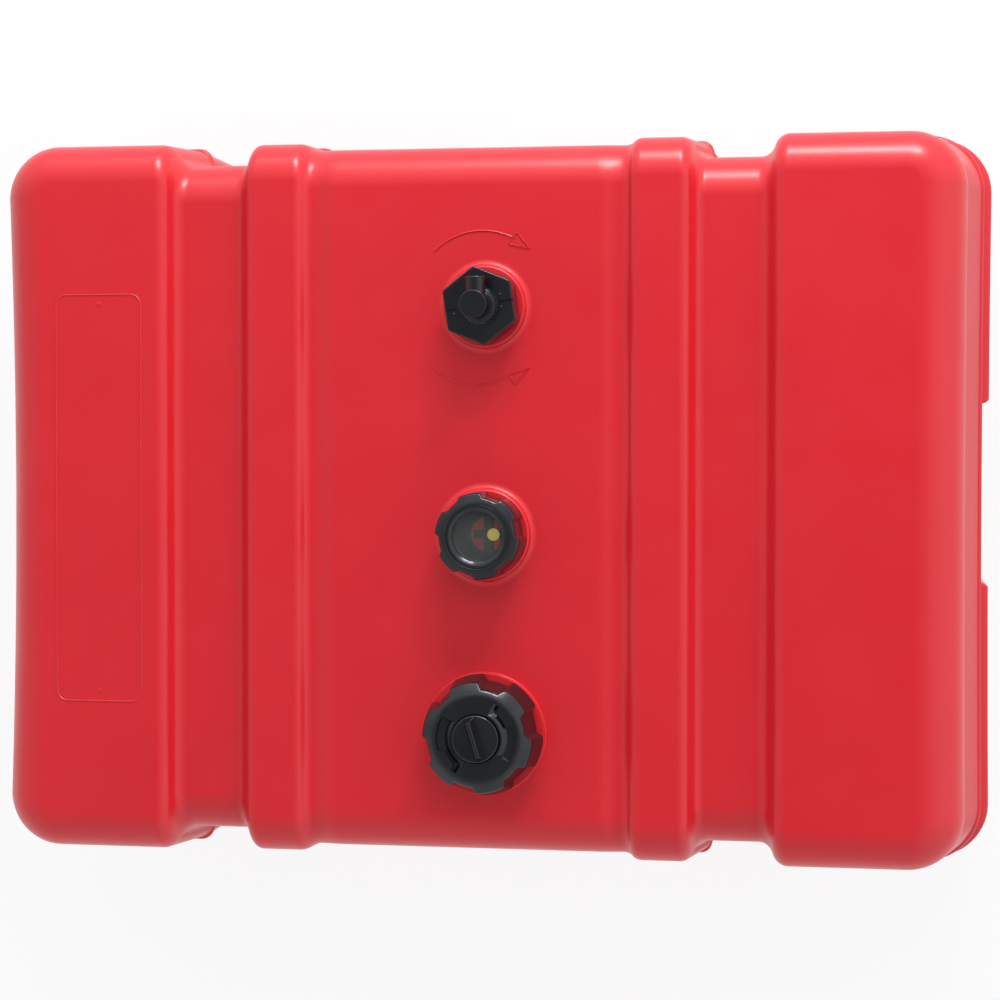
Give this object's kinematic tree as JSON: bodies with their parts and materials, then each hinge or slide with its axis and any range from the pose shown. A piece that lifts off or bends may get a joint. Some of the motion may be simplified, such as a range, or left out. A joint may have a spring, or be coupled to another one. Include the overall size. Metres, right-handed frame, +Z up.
{
  "type": "portable fuel tank",
  "caption": "Red moulded portable fuel tank with strap grooves, a vented filler cap, a float gauge and a swivelling outlet elbow.",
  "frame": {"origin": "on the ground under the middle of the tank", "axes": "+Z up, +X along the tank's long side, +Y along the row of fittings from the filler cap to the outlet"},
  "size_m": [0.6514, 0.467, 0.2442],
  "materials": {
    "tank_red": "satin moulded polyethylene",
    "cap_black": "satin moulded plastic",
    "seal_rubber": "matt rubber",
    "gauge_grey": "satin moulded plastic",
    "lens_clear": "clear polished plastic",
    "bead_yellow": "gloss plastic",
    "pipe_white": "natural moulded plastic",
    "float_foam": "closed-cell foam",
    "steel": "bright drawn steel"
  },
  "bodies": {
    "tank": {"tank_shell": "tank_red", "gauge_body": "gauge_grey", "gauge_gasket": "seal_rubber", "pivot_pin": "steel"},
    "cap_seal": {"cap_gasket": "seal_rubber"},
    "cap": {"filler_cap": "cap_black", "cap_insert": "cap_black", "relief_cage": "pipe_white", "relief_disc": "seal_rubber", "relief_spring": "steel"},
    "vent_seat": {"vent_seal": "seal_rubber"},
    "vent": {"vent_knob": "cap_black"},
    "lens": {"gauge_lens": "lens_clear", "lens_seal": "seal_rubber"},
    "ring": {"gauge_ring": "cap_black"},
    "float_set": {"float_arm": "gauge_grey", "float": "float_foam", "float_clip": "steel", "indicator_bead": "bead_yellow"},
    "pickup": {"pickup_tube": "pipe_white", "pickup_gasket": "seal_rubber", "pickup_strainer": "pipe_white"},
    "nut": {"outlet_nut": "cap_black"},
    "elbow": {"outlet_elbow": "cap_black", "elbow_seal": "seal_rubber"}
  },
  "joints": [
    {"name": "cap_lift", "type": "slide", "parent": "tank", "child": "cap_seal", "axis": [0, 0, 1], "range_m": [0, 0.018]},
    {"name": "cap_turn", "type": "hinge", "parent": "cap_seal", "child": "cap", "pos_m": [0.012, -0.148, 0.205], "axis": [0, 0, 1], "range_deg": [0, 1080]},
    {"name": "vent_lift", "type": "slide", "parent": "cap", "child": "vent_seat", "axis": [0, 0, 1], "range_m": [0, 0.0015]},
    {"name": "vent_turn", "type": "hinge", "parent": "vent_seat", "child": "vent", "pos_m": [0.012, -0.148, 0.23], "axis": [0, 0, 1], "range_deg": [0, 360]},
    {"name": "ring_lift", "type": "slide", "parent": "tank", "child": "lens", "axis": [0, 0, 1], "range_m": [0, 0.015]},
    {"name": "ring_turn", "type": "hinge", "parent": "lens", "child": "ring", "pos_m": [0.012, -0.022, 0.205], "axis": [0, 0, 1], "range_deg": [0, 1080]},
    {"name": "float_swing", "type": "hinge", "parent": "tank", "child": "float_set", "pos_m": [0.012, -0.022, 0.1871], "axis": [0, -1, 0], "range_deg": [0, 75]},
    {"name": "nut_lift", "type": "slide", "parent": "tank", "child": "pickup", "axis": [0, 0, 1], "range_m": [0, 0.01125]},
    {"name": "nut_turn", "type": "hinge", "parent": "pickup", "child": "nut", "pos_m": [0.012, 0.122, 0.205], "axis": [0, 0, 1], "range_deg": [0, 900]},
    {"name": "elbow_turn", "type": "hinge", "parent": "pickup", "child": "elbow", "pos_m": [0.012, 0.122, 0.23], "axis": [0, 0, 1], "continuous": true}
  ],
  "couplings": [
    {"joint": "cap_turn", "follows": "cap_lift", "rad_per_m": 1047.2},
    {"joint": "vent_turn", "follows": "vent_lift", "rad_per_m": 4188.7},
    {"joint": "ring_turn", "follows": "ring_lift", "rad_per_m": 1256.6},
    {"joint": "nut_turn", "follows": "nut_lift", "rad_per_m": 1396.3}
  ]
}
